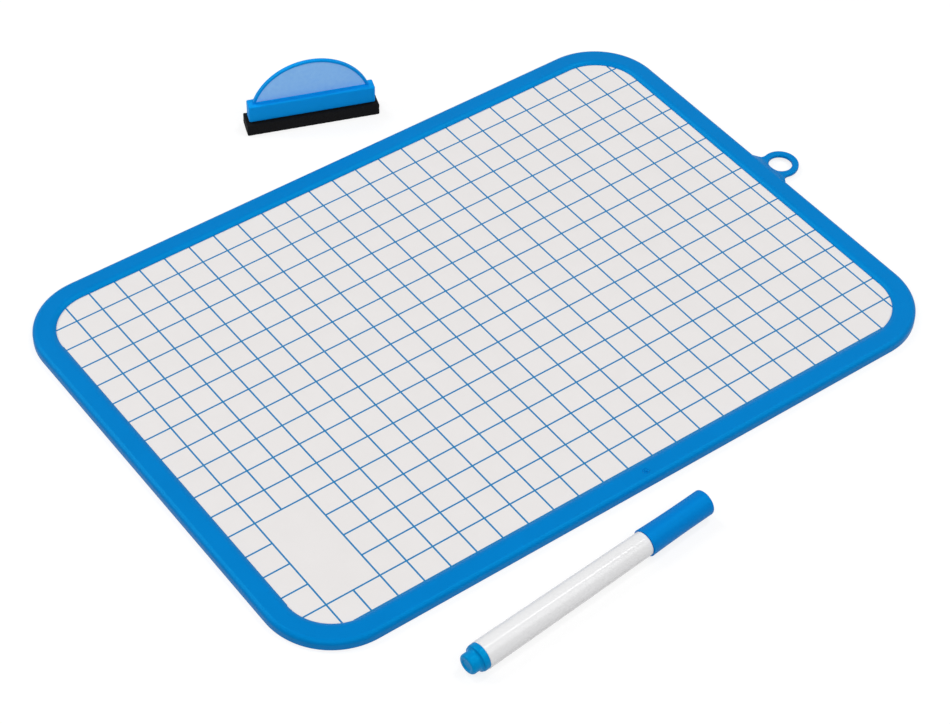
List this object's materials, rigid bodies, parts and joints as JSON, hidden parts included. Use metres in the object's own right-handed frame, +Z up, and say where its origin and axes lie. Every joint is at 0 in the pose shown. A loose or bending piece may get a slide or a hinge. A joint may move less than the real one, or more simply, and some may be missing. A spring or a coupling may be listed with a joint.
{
  "type": "dry erase lapboard",
  "caption": "Small framed dry erase board with a squared writing sheet and a hanging loop, with its capped marker and a half-moon eraser with a foam strip.",
  "frame": {"origin": "middle of the board's underside, in the plane of the table", "axes": "+Z up out of the writing side, +X along the board's length to the side with the hanging loop, +Y to the back"},
  "size_m": [0.2726, 0.256, 0.0274],
  "materials": {
    "rim_plastic": "satin",
    "laminated_sheet": "gloss",
    "greyboard": "matte",
    "backing_paper": "satin",
    "barrel_plastic": "gloss",
    "cap_plastic": "satin",
    "inked_fibre": "matte",
    "clear_film": "gloss",
    "nib_fibre": "matte",
    "handle_plastic": "satin",
    "black_foam": "matte",
    "tape": "matte"
  },
  "bodies": {
    "board": {"rim": "rim_plastic", "writing_sheet": "laminated_sheet", "core_board": "greyboard", "backing_sheet": "backing_paper"},
    "marker": {"marker_barrel": "barrel_plastic", "marker_end_plug": "cap_plastic", "ink_reservoir": "inked_fibre", "reservoir_film": "clear_film", "marker_nib": "nib_fibre"},
    "cap": {"marker_cap": "cap_plastic"},
    "eraser": {"eraser_handle": "handle_plastic", "eraser_foam": "black_foam", "foam_tape": "tape"}
  },
  "joints": [
    {"name": "marker_lift", "type": "slide", "parent": "board", "child": "marker", "axis": [0, 0, 1], "range_m": [0, 0.12]},
    {"name": "cap_pull", "type": "slide", "parent": "marker", "child": "cap", "axis": [0.9963, 0.0854, 0], "range_m": [0, 0.045]},
    {"name": "eraser_lift", "type": "slide", "parent": "board", "child": "eraser", "axis": [0, 0, 1], "range_m": [0, 0.12]}
  ]
}
